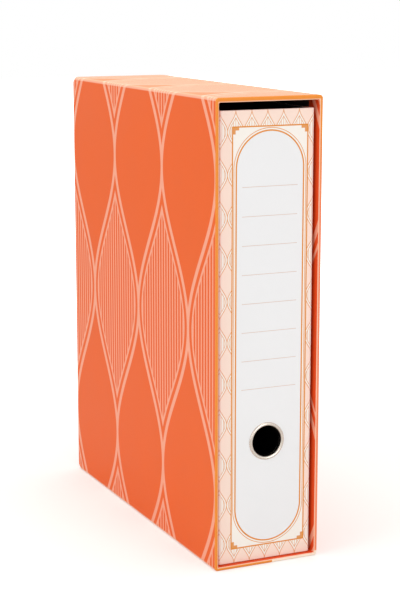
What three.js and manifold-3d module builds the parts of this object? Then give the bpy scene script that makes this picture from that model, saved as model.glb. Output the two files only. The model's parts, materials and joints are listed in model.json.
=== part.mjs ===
// A lever-arch file standing in its open-fronted slipcase, in millimetres, +Z up.
// X runs across the spine, the open mouth of the slipcase and the spine face -Y, and the
// origin is the middle of the slipcase's underside.
import * as THREE from "three";
import { mergeVertices } from "three/addons/utils/BufferGeometryUtils.js";
import Module from "manifold-3d";

const wasm = await Module();
wasm.setup();

// Slipcase
const caseWidth = 86;
const caseDepth = 290;
const caseHeight = 350;
const caseBoard = 2.75;
const caseTopBoard = 3.5;
const caseCorner = 2.5;
const caseBackEdge = 2;
const caseMouthEdge = 1.1;
const caseInnerCorner = 1.5;
const caseHeelRound = 5;
const caseHeelTurn = Math.PI / 3;

// File cover: one creased board, folded to a U
const coverBoard = 2.25;
const coverHeight = 337.5;
const sideClearance = 2;
const floorClearance = 0.25;
const mouthRecess = 4;
const backClearance = 2.25;
const coverCorner = 2.2;
const coverEdge = 0.6;
const creaseRadius = 0.9;
const creaseDepth = 0.6;
const creaseFromSpine = 8;

// Finger ring and its washer
const ringBore = 11.75;
const ringWall = 0.6;
const ringFlange = 2;
const ringHeight = 91.5;
const ringOffset = 1;
const ringBead = 1.3;
const ringLip = 1.2;
const washerThick = 0.75;
const washerRim = 2.5;

// Mechanism: local x runs away from the spine, y up the spine, z off the board
const plateThick = 1;
const pivotFromSpine = 28;
const postSpacing = 80;
const archSpan = 40;
const wireRadius = 2;
const wireBend = 4;
const wireSides = 10;
const wireSteps = 150;
const tipLength = 3;
const postRadius = 2.75;
const postTop = 36;
const postCup = 1.6;
const postCupDepth = 4;
const postFlange = 1.75;
const postFlangeThick = 1;
const postRim = 0.5;
const wireLift = 0.5;
const crankReach = 11;
const crankStart = 27;
const journalLength = 10;
const journalWall = 1.6;
const journalPlaces = [-34, 4];

// Lever, its pin, roller and roller pin
const leverPivotY = 20;
const leverLength = 60;
const leverWidth = 11;
const leverWall = 1;
const leverCrown = 4.25;
const leverSkirt = 2.25;
const leverEye = 5;
const leverNeck = 33;
const leverHollow = 30;
const leverPadWidth = 16;
const leverPadRise = 9;
const leverPadThin = 2;
const leverNeckBlend = 8;
const leverPadBlend = 10;
const leverPadFlare = 20;
const leverScoopRadius = 30;
const leverScoopDepth = 3.2;
const leverPinRadius = 1.5;
const rollerFromPivot = 12;
const rollerRadius = 2.75;
const rollerWidth = 7;
const rollerPinRadius = 1.2;
const rollerEdge = 0.4;
const earThick = 1.25;
const earGap = 0.5;
const earWidth = 9;
const pinHead = 0.7;

// Base plate, rivets and compressor bar
const plateSpineSide = 13;
const plateWidth = 37;
const plateLength = 124;
const plateCorner = 5;
const tongueWidth = 22;
const tongueEnd = 9;
const beadRadius = 1;
const beadInset = 2.6;
const windowLength = 30;
const windowWidth = 9;
const rivetShank = 2;
const rivetHead = 3.6;
const rivetHeadThick = 1;
const rivetHeadTop = 2.6;
const rivetFromSide = 6;
const rivetFromEnd = 7;
const barLength = 112;
const barWidth = 20;
const barThick = 4;
const barFloor = 2;
const barRim = 1.6;
const barEnd = 9.5;

// Clearances between pieces
const runningGap = 0.3;

// What follows from the sizes above
const caseInnerWidth = caseWidth - 2 * caseBoard;
const coverWidth = caseInnerWidth - 2 * sideClearance;
const coverBase = caseBoard + floorClearance;
const spineFace = -caseDepth / 2 + mouthRecess;
const foreEdge = caseDepth / 2 - caseBoard - backClearance;
const spineInner = spineFace + coverBoard;
const boardFace = -coverWidth / 2 + coverBoard;
const pivotY = spineInner + pivotFromSpine;
const middleZ = coverBase + coverHeight / 2;
const ringZ = coverBase + ringHeight;
const axisHeight = plateThick + wireRadius + wireLift;
const wireTip = postTop + runningGap;
const leverPivotZ = axisHeight + wireRadius + runningGap + rollerRadius;
const barRest = plateThick + postFlangeThick + runningGap;
const ringTube = ringBore + ringWall;

const finishes = {
  casePaper: new THREE.MeshStandardMaterial({ color: 0xf26b33, roughness: 0.45, metalness: 0 }),
  coverPaper: new THREE.MeshStandardMaterial({ color: 0xf2e9e2, roughness: 0.5, metalness: 0 }),
  nickel: new THREE.MeshStandardMaterial({ color: 0xc9c4bb, roughness: 0.2, metalness: 1 }),
  steel: new THREE.MeshStandardMaterial({ color: 0xb4b6b8, roughness: 0.35, metalness: 1 }),
  plastic: new THREE.MeshStandardMaterial({ color: 0x1c1c1e, roughness: 0.5, metalness: 0 }),
};

// Points of an arc about (cx, cy), ends included
function arc(cx, cy, radius, from, to, steps) {
  const points = [];
  for (let i = 0; i <= steps; i += 1) {
    const angle = from + ((to - from) * i) / steps;
    points.push(new THREE.Vector2(cx + radius * Math.cos(angle), cy + radius * Math.sin(angle)));
  }
  return points;
}

// Rounded rectangle about (cx, cy), counter-clockwise
function roundedRectangle(cx, cy, width, height, radius, steps = 5) {
  const x = width / 2 - radius;
  const y = height / 2 - radius;
  const centres = [[x, y], [-x, y], [-x, -y], [x, -y]];
  return centres.flatMap(([dx, dy], i) =>
    arc(cx + dx, cy + dy, radius, (i * Math.PI) / 2, ((i + 1) * Math.PI) / 2, steps));
}

// A closed skin over rings of equal point counts, with a flat cap on the first and last ring
function loft(rings) {
  const count = rings[0].length;
  const positions = rings.flat().flatMap((point) => [point.x, point.y, point.z]);
  const index = [];
  for (let r = 0; r < rings.length - 1; r += 1) {
    for (let i = 0; i < count; i += 1) {
      const a = r * count + i;
      const b = r * count + ((i + 1) % count);
      index.push(a, b + count, b, a, a + count, b + count);
    }
  }
  const last = (rings.length - 1) * count;
  for (let i = 1; i < count - 1; i += 1) {
    index.push(0, i, i + 1);
    index.push(last, last + i + 1, last + i);
  }
  const geometry = new THREE.BufferGeometry();
  geometry.setAttribute("position", new THREE.Float32BufferAttribute(positions, 3));
  geometry.setIndex(index);
  return geometry;
}

function toSolid(geometry) {
  const bare = geometry.clone();
  bare.deleteAttribute("normal");
  bare.deleteAttribute("uv");
  const merged = mergeVertices(bare, 1e-4);
  return new wasm.Manifold(new wasm.Mesh({
    numProp: 3,
    vertProperties: new Float32Array(merged.attributes.position.array),
    triVerts: new Uint32Array(merged.index.array),
  }));
}

function toGeometry(solid) {
  const mesh = solid.getMesh();
  const geometry = new THREE.BufferGeometry();
  geometry.setAttribute("position", new THREE.BufferAttribute(mesh.vertProperties, 3));
  geometry.setIndex(new THREE.BufferAttribute(mesh.triVerts, 1));
  geometry.computeVertexNormals();
  return geometry;
}

function addAll(first, others) {
  return others.reduce((sum, other) => sum.add(toSolid(other)), toSolid(first));
}

function cutAll(solid, cutters) {
  return cutters.reduce((rest, cutter) => rest.subtract(toSolid(cutter)), solid);
}

function slab(points, from, to) {
  const geometry = new THREE.ExtrudeGeometry(new THREE.Shape(points), {
    depth: to - from,
    bevelEnabled: false,
  });
  return geometry.translate(0, 0, from);
}

// The same slab with its outline in the y-z plane and its thickness along x
const standOnX = new THREE.Matrix4().makeBasis(
  new THREE.Vector3(0, 1, 0),
  new THREE.Vector3(0, 0, 1),
  new THREE.Vector3(1, 0, 0),
);

function slabAcross(points, from, to) {
  return slab(points, from, to).applyMatrix4(standOnX);
}

function rod(radius, from, to, sides = 24) {
  return slab(arc(0, 0, radius, 0, 2 * Math.PI * (1 - 1 / sides), sides - 1), from, to);
}

function rodAcross(radius, from, to, y, z, sides = 24) {
  return rod(radius, from, to, sides).applyMatrix4(standOnX).translate(0, y, z);
}

// A turned piece about +Z from a closed list of radius and height pairs, listed either way round
function turned(profile, sides = 32) {
  const outline = profile.map(([radius, height]) => new THREE.Vector2(radius, height));
  const ordered = THREE.ShapeUtils.isClockWise(outline) ? outline.reverse() : outline;
  const points = [...ordered, ordered[0].clone()];
  return new THREE.LatheGeometry(points, sides).rotateX(Math.PI / 2);
}

function piece(name, geometry, material) {
  const mesh = new THREE.Mesh(geometry, material);
  mesh.name = name;
  return mesh;
}

// Slipcase: five walls of wrapped board in one shell, drawn as rings from the inner back,
// out round the mouth and along the outside to the back, where its long corners round off.
// The top is thicker, because two flaps of the board lie over each other there.
function slipcase() {
  const ring = (inset, topInset, y, radius) => roundedRectangle(
    0, (caseHeight + inset - topInset) / 2,
    caseWidth - 2 * inset, caseHeight - inset - topInset, radius, 4,
  ).map((point) => new THREE.Vector3(point.x, y, point.y));
  const plain = (step) => ring(
    step.x, (step.x * caseTopBoard) / caseBoard, step.y,
    Math.max(caseCorner - step.x, caseInnerCorner));
  const mouth = -caseDepth / 2 + caseMouthEdge;
  const back = caseDepth / 2 - caseBackEdge;
  const inner = arc(caseBoard - caseMouthEdge, mouth, caseMouthEdge, 0, -Math.PI / 2, 3);
  const outer = arc(caseMouthEdge, mouth, caseMouthEdge, -Math.PI / 2, -Math.PI, 3);
  const heelReach = caseHeelRound * Math.sin(caseHeelTurn);
  const rounding = arc(caseHeelRound, back - heelReach, caseHeelRound, Math.PI, Math.PI - caseHeelTurn, 5);
  const rounded = caseCorner + rounding[5].x;
  const heel = arc(caseBackEdge, back, caseBackEdge, Math.PI, Math.PI / 2, 4).slice(1);
  const rings = [
    plain(new THREE.Vector2(caseBoard, caseDepth / 2 - caseBoard)),
    ...inner.map(plain),
    ...outer.map(plain),
    ...rounding.map((step) => ring(0, 0, step.y, caseCorner + step.x)),
    ...heel.map((step) => ring(step.x, step.x, step.y, rounded - step.x)),
  ];
  return piece("slipcase", loft(rings), finishes.casePaper);
}

// One half of the U section, from the middle of the spine's outside round to its inside
function coverHalf() {
  const side = coverWidth / 2;
  const lip = coverBoard / 2;
  const creaseY = spineFace + creaseFromSpine;
  const open = Math.acos((creaseRadius - creaseDepth) / creaseRadius);
  const creaseX = side + creaseRadius - creaseDepth;
  return [
    ...arc(side - coverCorner, spineFace + coverCorner, coverCorner, -Math.PI / 2, 0, 6),
    ...arc(creaseX, creaseY, creaseRadius, Math.PI + open, Math.PI - open, 6),
    ...arc(side - lip, foreEdge - lip, lip, 0, Math.PI, 6),
    ...arc(side - coverBoard, spineInner, creaseRadius, Math.PI / 2, -Math.PI, 8),
  ];
}

function fileCover() {
  const right = coverHalf();
  const left = right.map((point) => new THREE.Vector2(-point.x, point.y)).reverse();
  const section = new THREE.Shape([...right, ...left]);
  const board = new THREE.ExtrudeGeometry(section, {
    depth: coverHeight - 2 * coverEdge,
    bevelThickness: coverEdge,
    bevelSize: coverEdge,
    bevelOffset: -coverEdge,
    bevelSegments: 2,
  });
  board.translate(0, 0, coverBase + coverEdge);
  const fingerHole = rod(ringTube + runningGap, -coverBoard, 2 * coverBoard, 48)
    .rotateX(-Math.PI / 2)
    .translate(ringOffset, spineFace, ringZ);
  const rivetHoles = rivetPlaces().map(([x, y]) =>
    rodAcross(
      rivetShank + runningGap, boardFace - 2 * coverBoard, boardFace + coverBoard,
      pivotY + x, middleZ + y));
  const cover = cutAll(toSolid(board), [fingerHole, ...rivetHoles]);
  return piece("file_cover", toGeometry(cover), finishes.coverPaper);
}

// Finger ring: a rolled bead over a short tube, closed over the washer behind the spine.
// Heights run along the tube, from the bead in front of the board to the lip behind it.
function fingerRing() {
  const group = new THREE.Group();
  const flangeMiddle = (ringBore + ringTube + ringFlange) / 2;
  const flangeHalf = (ringTube + ringFlange - ringBore) / 2;
  const dome = arc(0, 0, 1, 0, Math.PI, 10)
    .map((point) => [flangeMiddle - flangeHalf * point.x, ringBead * point.y]);
  const behind = -coverBoard - washerThick - ringWall;
  const ring = turned([
    ...dome,
    [ringTube, 0],
    [ringTube, -coverBoard - washerThick],
    [ringTube + ringLip, -coverBoard - washerThick],
    [ringTube + ringLip, behind + ringWall / 3],
    [ringTube, behind],
    [ringBore + ringWall / 3, behind],
    [ringBore, behind + ringWall / 2],
  ], 44);
  const washer = turned([
    [ringTube + runningGap, -coverBoard - washerThick],
    [ringTube + ringLip + washerRim - ringWall / 2, -coverBoard - washerThick],
    [ringTube + ringLip + washerRim, -coverBoard - washerThick / 2],
    [ringTube + ringLip + washerRim, -coverBoard],
    [ringTube + runningGap, -coverBoard],
  ], 44);
  group.add(piece("finger_ring", ring, finishes.nickel));
  group.add(piece("ring_washer", washer, finishes.steel));
  group.rotation.x = Math.PI / 2;
  group.position.set(ringOffset, spineFace, ringZ);
  return group;
}

function rivetPlaces() {
  const rows = plateLength / 2 - rivetFromEnd;
  const columns = [rivetFromSide - plateSpineSide, plateWidth - plateSpineSide - rivetFromSide];
  return columns.flatMap((x) => [[x, rows], [x, -rows]]);
}

function postPlaces() {
  return [["post_upper", postSpacing / 2], ["post_lower", -postSpacing / 2]];
}

// Base plate: a stamped strip with two tongues under the posts, beads pressed up along it,
// bearings curled over the wire and two ears bent up for the lever
function basePlate() {
  const middle = plateWidth / 2 - plateSpineSide;
  const strip = slab(roundedRectangle(middle, 0, plateWidth, plateLength, plateCorner), 0, plateThick);
  const tongueReach = archSpan + tongueEnd - middle;
  const tongues = postPlaces().map(([, y]) => slab(
    roundedRectangle(middle + tongueReach / 2, y, tongueReach, tongueWidth, plateCorner),
    0, plateThick));
  const beads = [beadInset - plateSpineSide, plateWidth - plateSpineSide - beadInset].map((x) =>
    new THREE.CapsuleGeometry(beadRadius, postSpacing, 4, 12).translate(x, 0, plateThick));
  const journalRadius = wireRadius + runningGap + journalWall;
  const journals = journalPlaces.map((y) => {
    const foot = [new THREE.Vector2(-journalRadius, 0), new THREE.Vector2(journalRadius, 0)];
    const hoop = [...foot, ...arc(0, axisHeight, journalRadius, 0, Math.PI, 12)];
    return slab(hoop, 0, journalLength).rotateX(Math.PI / 2).translate(0, y + journalLength, 0);
  });
  const earPoints = [
    new THREE.Vector2(leverPivotY - earWidth / 2, 0),
    new THREE.Vector2(leverPivotY + earWidth / 2, 0),
    ...arc(leverPivotY, leverPivotZ, earWidth / 2, 0, Math.PI, 12),
  ];
  const inner = leverWidth / 2 + earGap;
  const ears = [
    slabAcross(earPoints, crankReach - inner - earThick, crankReach - inner),
    slabAcross(earPoints, crankReach + inner, crankReach + inner + earThick),
  ];
  const wireBore = rod(wireRadius + runningGap, -plateLength, plateLength)
    .rotateX(Math.PI / 2)
    .translate(0, 0, axisHeight);
  const pinBore = rodAcross(leverPinRadius + runningGap, 0, plateWidth, leverPivotY, leverPivotZ);
  const rivetBores = rivetPlaces().map(([x, y]) =>
    rod(rivetShank + runningGap, -plateThick, 2 * plateThick).translate(x, y, 0));
  const window = slab(
    roundedRectangle(crankReach, -windowLength / 2, windowWidth, windowLength, windowWidth / 3),
    -plateThick, 2 * plateThick);
  const underside = new THREE.BoxGeometry(2 * plateLength, 2 * plateLength, plateLength)
    .translate(0, 0, -plateLength / 2);
  const solid = cutAll(
    addAll(strip, [...tongues, ...beads, ...journals, ...ears]),
    [wireBore, pinBore, ...rivetBores, window, underside],
  );
  return piece("base_plate", toGeometry(solid), finishes.nickel);
}

// A round stretch of the wire in space: a turn about a centre from one direction to another
class WireArc extends THREE.Curve {
  constructor(centre, radius, fromDirection, toDirection, sweep) {
    super();
    Object.assign(this, { centre, radius, fromDirection, toDirection, sweep });
  }

  getPoint(t, target = new THREE.Vector3()) {
    const angle = t * this.sweep;
    return target.copy(this.centre)
      .addScaledVector(this.fromDirection, this.radius * Math.cos(angle))
      .addScaledVector(this.toDirection, this.radius * Math.sin(angle));
  }
}

// Arch wire: tip, arch, leg, crank under the lever's roller, axis, leg, arch and tip
function archWire() {
  const radius = archSpan / 2;
  const top = wireTip + tipLength;
  const y = postSpacing / 2;
  const unit = {
    x: new THREE.Vector3(1, 0, 0),
    y: new THREE.Vector3(0, 1, 0),
    z: new THREE.Vector3(0, 0, 1),
  };
  const minus = (axis) => unit[axis].clone().negate();
  const path = new THREE.CurvePath();
  const line = (from, to) =>
    path.add(new THREE.LineCurve3(new THREE.Vector3(...from), new THREE.Vector3(...to)));
  const bend = (centre, size, from, to, sweep) =>
    path.add(new WireArc(new THREE.Vector3(...centre), size, from, to, sweep));
  const quarter = Math.PI / 2;
  const b = wireBend;
  const z = axisHeight;
  const c = crankReach;
  line([archSpan, y, wireTip], [archSpan, y, top]);
  bend([radius, y, top], radius, unit.x, unit.z, Math.PI);
  line([0, y, top], [0, y, z + b]);
  bend([b, y, z + b], b, minus("x"), minus("z"), quarter);
  line([b, y, z], [c - b, y, z]);
  bend([c - b, y - b, z], b, unit.y, unit.x, quarter);
  line([c, y - b, z], [c, crankStart + b, z]);
  bend([c - b, crankStart + b, z], b, unit.x, minus("y"), quarter);
  line([c - b, crankStart, z], [b, crankStart, z]);
  bend([b, crankStart - b, z], b, unit.y, minus("x"), quarter);
  line([0, crankStart - b, z], [0, b - y, z]);
  bend([0, b - y, z + b], b, minus("z"), minus("y"), quarter);
  line([0, -y, z + b], [0, -y, top]);
  bend([radius, -y, top], radius, minus("x"), unit.z, Math.PI);
  line([archSpan, -y, top], [archSpan, -y, wireTip]);
  const lastAngle = 2 * Math.PI * (1 - 1 / wireSides);
  const section = new THREE.Shape(arc(0, 0, wireRadius, 0, lastAngle, wireSides - 1));
  const wire = new THREE.ExtrudeGeometry(section, { steps: wireSteps, extrudePath: path });
  return piece("arch_wire", wire, finishes.nickel);
}

// Post: a tube with a turned flange, its mouth open under the arch's tip
function post(name, y) {
  const tube = turned([
    [0, plateThick],
    [postRadius + postFlange, plateThick],
    [postRadius + postFlange, plateThick + postFlangeThick / 2],
    [postRadius, plateThick + postFlangeThick],
    [postRadius, postTop - postRim],
    [postRadius - postRim, postTop],
    [postCup, postTop],
    [postCup, postTop - postCupDepth],
    [0, postTop - postCupDepth],
  ], 28);
  const mesh = piece(name, tube, finishes.nickel);
  mesh.position.set(archSpan, y, 0);
  return mesh;
}

// Lever: a channel folded from sheet, seen from the side a straight arm with a rising thumb
// pad, seen from above a neck that widens to the pad
function lever() {
  const end = leverPivotY + leverLength;
  const neck = leverPivotY + leverNeck;
  const crown = leverPivotZ + leverCrown;
  const skirt = leverPivotZ - leverSkirt;
  const padTop = crown + leverPadRise - leverPadThin;
  const padFoot = skirt + leverPadRise;
  const neckOut = neck + leverNeckBlend;
  const padIn = end - leverPadBlend;
  const arm = new THREE.Shape();
  arm.moveTo(leverPivotY, leverPivotZ - leverEye);
  arm.lineTo(leverPivotY + leverEye, skirt);
  arm.lineTo(neck, skirt);
  arm.bezierCurveTo(neckOut, skirt, padIn, padFoot - leverPadThin, end, padFoot);
  arm.lineTo(end, padTop);
  arm.bezierCurveTo(padIn, padTop, neckOut, crown, neck, crown);
  arm.lineTo(leverPivotY, crown);
  arm.absarc(leverPivotY, leverPivotZ, leverCrown, Math.PI / 2, Math.PI, false);
  arm.lineTo(leverPivotY - leverEye, leverPivotZ);
  arm.absarc(leverPivotY, leverPivotZ, leverEye, Math.PI, Math.PI * 1.5, false);
  const side = slabAcross(arm.getPoints(8), crankReach - leverPadWidth, crankReach + leverPadWidth);
  const half = leverWidth / 2;
  const round = leverPadWidth / 2;
  const start = leverPivotY - leverEye - leverWall;
  const flare = end - leverPadFlare;
  const left = crankReach - half;
  const right = crankReach + half;
  const plan = new THREE.Shape();
  plan.moveTo(left, start);
  plan.lineTo(right, start);
  plan.lineTo(right, neck);
  plan.bezierCurveTo(right, neckOut, crankReach + round, flare, crankReach + round, end - round);
  plan.absarc(crankReach, end - round, round, 0, Math.PI, false);
  plan.bezierCurveTo(crankReach - round, flare, left, neckOut, left, neck);
  const above = slab(plan.getPoints(8), 0, padTop + leverPadRise);
  const roof = crown - leverWall;
  const hollowEnd = leverPivotY + leverHollow;
  const hollow = new THREE.BoxGeometry(leverWidth - 2 * leverWall, 2 * (hollowEnd - start), 2 * roof)
    .translate(crankReach, start, 0);
  const scoop = new THREE.SphereGeometry(leverScoopRadius, 28, 18)
    .translate(crankReach, end - round, crown + leverPadRise + leverScoopRadius - leverScoopDepth);
  const pinBore = rodAcross(leverPinRadius + runningGap, 0, plateWidth, leverPivotY, leverPivotZ);
  const rollerBore = rodAcross(
    rollerPinRadius + runningGap, 0, plateWidth, leverPivotY + rollerFromPivot, leverPivotZ);
  const blank = toSolid(side).intersect(toSolid(above));
  return piece("lever", toGeometry(cutAll(blank, [hollow, scoop, pinBore, rollerBore])), finishes.nickel);
}

// A headed pin lying along x, centred on the lever, between two outside faces
function headedPin(name, radius, halfGrip, y, z) {
  const grip = halfGrip + runningGap;
  const pin = turned([
    [0, -grip - pinHead],
    [radius + pinHead, -grip - pinHead / 2],
    [radius + pinHead, -grip],
    [radius, -grip],
    [radius, grip],
    [radius + pinHead, grip],
    [radius + pinHead, grip + pinHead / 2],
    [0, grip + pinHead],
  ], 20).applyMatrix4(standOnX).translate(crankReach, y, z);
  return piece(name, pin, finishes.steel);
}

function camRoller() {
  const half = rollerWidth / 2;
  const bore = rollerPinRadius + runningGap;
  const roller = turned([
    [bore, -half],
    [rollerRadius - rollerEdge, -half],
    [rollerRadius, -half + rollerEdge],
    [rollerRadius, half - rollerEdge],
    [rollerRadius - rollerEdge, half],
    [bore, half],
  ], 28).applyMatrix4(standOnX).translate(crankReach, leverPivotY + rollerFromPivot, leverPivotZ);
  return piece("cam_roller", roller, finishes.steel);
}

// Compressor bar: a moulded bar with a raised rim, bosses round the post holes and a cross rib
function compressorBar() {
  const outline = (inset) => roundedRectangle(
    archSpan, 0, barWidth - 2 * inset, barLength - 2 * inset, barEnd - inset, 8);
  const floor = slab(outline(0), barRest, barRest + barThick);
  const pocket = slab(outline(barRim), barRest + barFloor, barRest + 2 * barThick);
  const bossRadius = postRadius + runningGap + barRim;
  const bosses = postPlaces().map(([, y]) => rod(bossRadius, 0, barThick).translate(archSpan, y, barRest));
  const rib = new THREE.BoxGeometry(barRim, postSpacing, barThick)
    .translate(archSpan, 0, barRest + barThick / 2);
  const holes = postPlaces().map(([, y]) =>
    rod(postRadius + runningGap, -barThick, 3 * barThick, 28).translate(archSpan, y, barRest));
  const rimmed = cutAll(toSolid(floor), [pocket]);
  const ribbed = [rib, ...bosses].reduce((sum, part) => sum.add(toSolid(part)), rimmed);
  return piece("compressor_bar", toGeometry(cutAll(ribbed, holes)), finishes.plastic);
}

// Rivet: a flat head outside the cover, a shank and a clenched head on the plate
function rivet(name, x, y) {
  const outside = -coverBoard;
  const mesh = piece(name, turned([
    [0, outside - rivetHeadThick],
    [rivetHeadTop, outside - rivetHeadThick],
    [rivetHead, outside - rivetHeadThick / 2],
    [rivetHead, outside],
    [rivetShank, outside],
    [rivetShank, plateThick],
    [rivetHead, plateThick],
    [rivetHeadTop, plateThick + rivetHeadThick / 2],
    [0, plateThick + rivetHeadThick],
  ], 20), finishes.steel);
  mesh.position.set(x, y, 0);
  return mesh;
}

function mechanism() {
  const group = new THREE.Group();
  group.add(basePlate(), archWire(), lever(), camRoller(), compressorBar());
  postPlaces().forEach(([name, y]) => group.add(post(name, y)));
  const earOutside = leverWidth / 2 + earGap + earThick;
  group.add(headedPin("lever_pin", leverPinRadius, earOutside, leverPivotY, leverPivotZ));
  group.add(headedPin(
    "roller_pin", rollerPinRadius, leverWidth / 2, leverPivotY + rollerFromPivot, leverPivotZ));
  rivetPlaces().forEach(([x, y], i) => group.add(rivet(`base_rivet_${i + 1}`, x, y)));
  group.quaternion.set(0.5, 0.5, 0.5, 0.5);
  group.position.set(boardFace, pivotY, middleZ);
  return group;
}

const binder = new THREE.Group();
binder.add(slipcase(), fileCover(), fingerRing(), mechanism());
export default binder;
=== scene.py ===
"""Finishes for a lever-arch file in its slipcase: printed wraps, nickel-plated mechanism and stage."""

import json
import math
from types import SimpleNamespace
from typing import NamedTuple

import bmesh
import bpy
import numpy as np
from bpy.props import FloatProperty, FloatVectorProperty, PointerProperty
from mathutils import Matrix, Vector


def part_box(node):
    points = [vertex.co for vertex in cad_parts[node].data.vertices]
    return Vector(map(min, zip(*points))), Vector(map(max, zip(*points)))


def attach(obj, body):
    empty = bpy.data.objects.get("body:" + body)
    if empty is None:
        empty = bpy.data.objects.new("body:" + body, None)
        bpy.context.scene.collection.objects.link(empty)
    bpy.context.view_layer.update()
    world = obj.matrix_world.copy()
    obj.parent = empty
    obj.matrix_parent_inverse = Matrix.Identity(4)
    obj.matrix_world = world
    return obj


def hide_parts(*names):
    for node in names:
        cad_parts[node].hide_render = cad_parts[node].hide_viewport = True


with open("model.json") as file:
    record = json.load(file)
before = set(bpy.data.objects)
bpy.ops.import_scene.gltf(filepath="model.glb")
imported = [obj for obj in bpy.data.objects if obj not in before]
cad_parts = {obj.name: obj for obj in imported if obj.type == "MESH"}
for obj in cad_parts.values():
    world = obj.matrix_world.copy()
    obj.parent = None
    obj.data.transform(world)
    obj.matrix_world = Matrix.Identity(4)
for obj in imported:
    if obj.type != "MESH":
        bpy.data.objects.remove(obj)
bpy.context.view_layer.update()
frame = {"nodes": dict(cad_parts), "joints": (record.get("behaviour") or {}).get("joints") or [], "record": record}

bl_info = {
    "name": "Lever-arch file in slipcase",
    "version": (1, 0, 0),
    "blender": (4, 5, 0),
    "location": "View3D > Sidebar > Slipcase file",
    "description": "Builds the wraps, ring, mechanism finishes and stage of a file in its slipcase",
    "category": "Add Mesh",
}

MM = 0.001
CASE_LOW, CASE_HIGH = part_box("slipcase")
COVER_LOW, COVER_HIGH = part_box("file_cover")
RING_LOW, RING_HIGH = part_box("finger_ring")
PLATE_LOW, PLATE_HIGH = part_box("base_plate")
JOINTS = {joint["name"]: joint for joint in frame["joints"]}

# Camera, fitted to the slipcase's corners in the 400 by 600 frame
CAMERA_PLACE = (-0.5268, -1.1720, 0.4278)
CAMERA_AZIMUTH = -24.66
CAMERA_ELEVATION = 11.07
CAMERA_FOCAL_PIXELS = 1611.3
CAMERA_REACH = 60.0
IMAGE_LONG_SIDE = 600
SENSOR = 36.0

FLOOR_REACH = 6.0
FLOOR_COLOUR = (0.85, 0.85, 0.85, 1.0)
FLOOR_ROUGHNESS = 0.9
FLOOR_SHEEN = 0.1
WHITE = (1.0, 1.0, 1.0, 1.0)
# Each lamp's place, and its width and height
LAMPS = {
    "key": ((0.25, -1.8, 0.62), (1.2, 0.9)),
    "side": ((-1.6, -0.2, 0.8), (1.2, 1.4)),
    "top": ((0, 0.1, 1.5), (0.9, 0.9)),
}

# Within this distance two places count as the same
NEAR = 0.1 * MM
# Points of a CAD copy that lie closer than this are joined
JOIN = 0.001 * MM
# Edges that turn by more than these degrees stay crisp
WRAP_CREASE = 40.0
COPY_CREASE = 32.0
WIRE_CREASE = 50.0
# How far large faces outweigh small ones in the normals, from 1 to 100
FLAT_WEIGHT = 80

# Straight pieces in the rounded edges and bends
CORNER_STEPS = 8
HEEL_STEPS = 8
EDGE_STEPS = 6
CREASE_STEPS = 10
LIP_STEPS = 12
FOLD_STEPS = 14
BEAD_STEPS = 24
CURL_STEPS = 4
# Sides of what is turned, swept or cut round, and the cutter's length in thicknesses of board
RING_SIDES = 128
HOLE_SIDES = 96
CUTTER_BOARDS = 6
POST_SIDES = 48
WIRE_SIDES = 24
# Length of the pieces in the wire's bends and in its straight runs, and the fewest in a bend
WIRE_STEP = 0.9 * MM
WIRE_RUN = 3 * WIRE_STEP
BEND_STEPS = 8

# How strongly inks, wear and painted highlights show; the slipcase's edges and mouth rim are painted pale as a
# highlight with wear
STRIPE_INK = 0.93
STEP_INK = 0.9
COVER_INK = 0.85
RULE_INK = 0.85
CASE_WEAR_AND_HIGHLIGHT = 0.55
COVER_WEAR = 0.35
MOUTH_RIM_WEAR_AND_HIGHLIGHT = 0.8
# How much the slipcase's laminate reflects
CASE_SHEEN = 0.12
# Widths in millimetres over which two papers meet
SEAM_BLEND = 0.4
FOOT_BLEND = 0.5
RIM_BLEND = 0.3
SIDE_FADE = 60.0
# Reach of the mouth's right edge and of its foot, in thicknesses of board
RIGHT_REACH = 1.6
FOOT_REACH = 1.5
# Half width of the ogees' inner outline, in fine lines
INNER_LINE = 0.6
# The ruled field reaches past its end rules by their pitch divided by this
SPARE_PARTS = 7
# Shares of an edge's or corner's radius that the mouth's paper and the rubbed places take; on the slipcase these
# are painted pale as a highlight with wear
MOUTH_SHARE = 0.75
CORNER_SHARE = 0.99
BACK_SHARE = 0.6
COVER_SHARE = 0.9
# A face whose normal rises by at least this belongs to the top, which is painted lighter as painted light
TOP_RISE = 0.7
# A fold's cosine counts as no smaller than this when its outline is drawn in
FOLD_LIMIT = 0.5
# Detail of the two noises in laminated board
TOOTH_DETAIL = 3.0
MOTTLE_DETAIL = 4.0


class Surface(NamedTuple):
    """How a finish takes the light. Tint and gloss range say how far the mottling moves colour
    and roughness, and relief and depth set the bump of the fine tooth."""

    roughness: float
    metallic: float
    tooth_scale: float
    mottle_scale: float
    tint: float
    gloss_range: float
    relief: float
    depth: float


SURFACES = {
    "Slipcase paper": Surface(0.39, 0.0, 450.0, 24.0, 0.05, 0.1, 0.03, 0.05 * MM),
    "Cover paper": Surface(0.47, 0.0, 500.0, 30.0, 0.03, 0.1, 0.04, 0.06 * MM),
    "Nickel plate": Surface(0.26, 1.0, 2600.0, 160.0, 0.16, 0.14, 0.06, 0.03 * MM),
    "Plated steel": Surface(0.34, 1.0, 2600.0, 160.0, 0.16, 0.14, 0.06, 0.03 * MM),
    "Moulded plastic": Surface(0.5, 0.0, 3200.0, 90.0, 0.3, 0.2, 0.25, 0.05 * MM),
}
METAL_FINISHES = {"nickel": "Nickel plate", "steel": "Plated steel", "black_plastic": "Moulded plastic"}


def srgb(red, green, blue):
    """A colour written as 0 to 255 screen values, turned to linear light."""
    values = [channel / 255 for channel in (red, green, blue)]
    linear = [v / 12.92 if v <= 0.04045 else ((v + 0.055) / 1.055) ** 2.4 for v in values]
    return (*linear, 1.0)


def length(name, description, millimetres):
    """A size that a user can change, with its default in millimetres."""
    return FloatProperty(name=name, description=description, default=millimetres * MM, unit="LENGTH")


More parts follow.
